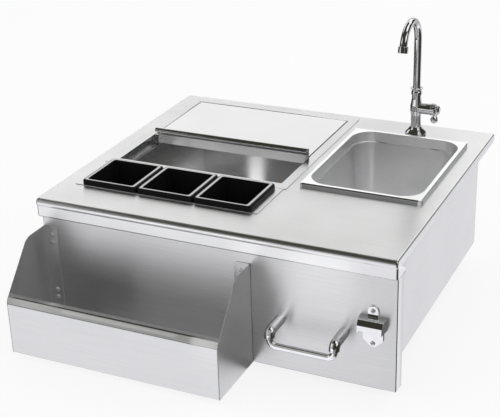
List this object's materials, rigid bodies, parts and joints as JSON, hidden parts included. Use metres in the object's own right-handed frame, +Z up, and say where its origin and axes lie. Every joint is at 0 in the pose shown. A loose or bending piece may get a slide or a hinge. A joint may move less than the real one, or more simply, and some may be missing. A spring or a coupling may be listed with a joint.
{
  "type": "bar_sink_with_ice_bin",
  "caption": "Drop-in stainless bar sink unit with ice bin and sliding lid, condiment inserts, gooseneck tap, bottle rail, towel bar and opener",
  "frame": {"origin": "on the counter's surface, under the folded edge of the countertop, at the middle of the length that the edge covers; halfway across", "axes": "+Z up, out of the counter; +X to the right of the person who stands at the front; -Y towards that person"},
  "size_m": [0.762, 0.803, 0.5712],
  "materials": {
    "brushed_steel": "brushed",
    "bright_steel": "bright",
    "satin_steel": "satin",
    "lid_steel": "fine satin",
    "chrome": "polished",
    "brass": "machined",
    "rubber": "matt",
    "black_plastic": "gloss",
    "white_plastic": "matt",
    "foam": "rough"
  },
  "bodies": {
    "unit": {"countertop": "brushed_steel", "front_panel": "brushed_steel", "side_panel_left": "brushed_steel", "side_panel_right": "brushed_steel", "back_panel": "brushed_steel", "divider_panel": "brushed_steel", "bottom_panel": "brushed_steel", "bin_liner": "bright_steel", "bin_insulation": "foam", "bin_jacket": "brushed_steel", "bin_drain_fitting": "brass", "bin_drain_washer": "rubber", "bin_drain_nut": "brass", "sink_bowl": "satin_steel", "sink_clips": "brushed_steel", "drain_body": "chrome", "drain_gasket": "rubber", "drain_locknut": "brass", "drain_slip_nut": "chrome", "drain_tailpiece": "chrome", "tap_seal": "rubber", "tap_base": "chrome", "tap_body": "chrome", "tap_shank": "brass", "tap_washer": "rubber", "tap_nut": "brass", "tap_collar": "chrome", "spout_seal": "rubber", "valve_cartridge": "brass", "valve_cap": "chrome", "rail_trough": "brushed_steel", "rail_end_left": "brushed_steel", "rail_end_right": "brushed_steel", "rail_screws": "bright_steel", "towel_bar": "chrome", "towel_bar_bolts": "bright_steel", "bottle_opener": "chrome", "opener_screws": "bright_steel"},
    "spout": {"spout_pipe": "chrome", "spout_aerator": "chrome", "aerator_screen": "satin_steel"},
    "handle": {"valve_hub": "chrome", "valve_lever": "chrome"},
    "lid": {"lid_panel": "lid_steel", "lid_front": "lid_steel", "lid_glides": "white_plastic"},
    "holder": {"condiment_holder": "brushed_steel"},
    "insert_1": {"condiment_insert_1": "black_plastic"},
    "insert_2": {"condiment_insert_2": "black_plastic"},
    "insert_3": {"condiment_insert_3": "black_plastic"},
    "basket": {"strainer_basket": "satin_steel"}
  },
  "joints": [
    {"name": "spout_swivel", "type": "hinge", "parent": "unit", "child": "spout", "pos_m": [0.2175, 0.2525, 0.111], "axis": [0, 0, 1], "range_deg": [-180, 180]},
    {"name": "handle_turn", "type": "hinge", "parent": "unit", "child": "handle", "pos_m": [0.2617, 0.2525, 0.08], "axis": [-1, 0, 0], "range_deg": [0, 90]},
    {"name": "lid_slide", "type": "slide", "parent": "unit", "child": "lid", "axis": [0, -1, 0], "range_m": [0, 0.142]},
    {"name": "holder_lift", "type": "slide", "parent": "unit", "child": "holder", "axis": [0, 0, 1], "range_m": [0, 0.115]},
    {"name": "insert_1_lift", "type": "slide", "parent": "holder", "child": "insert_1", "axis": [0, 0, 1], "range_m": [0, 0.1]},
    {"name": "insert_2_lift", "type": "slide", "parent": "holder", "child": "insert_2", "axis": [0, 0, 1], "range_m": [0, 0.1]},
    {"name": "insert_3_lift", "type": "slide", "parent": "holder", "child": "insert_3", "axis": [0, 0, 1], "range_m": [0, 0.1]},
    {"name": "basket_lift", "type": "slide", "parent": "unit", "child": "basket", "axis": [0, 0, 1], "range_m": [0, 0.05]}
  ]
}
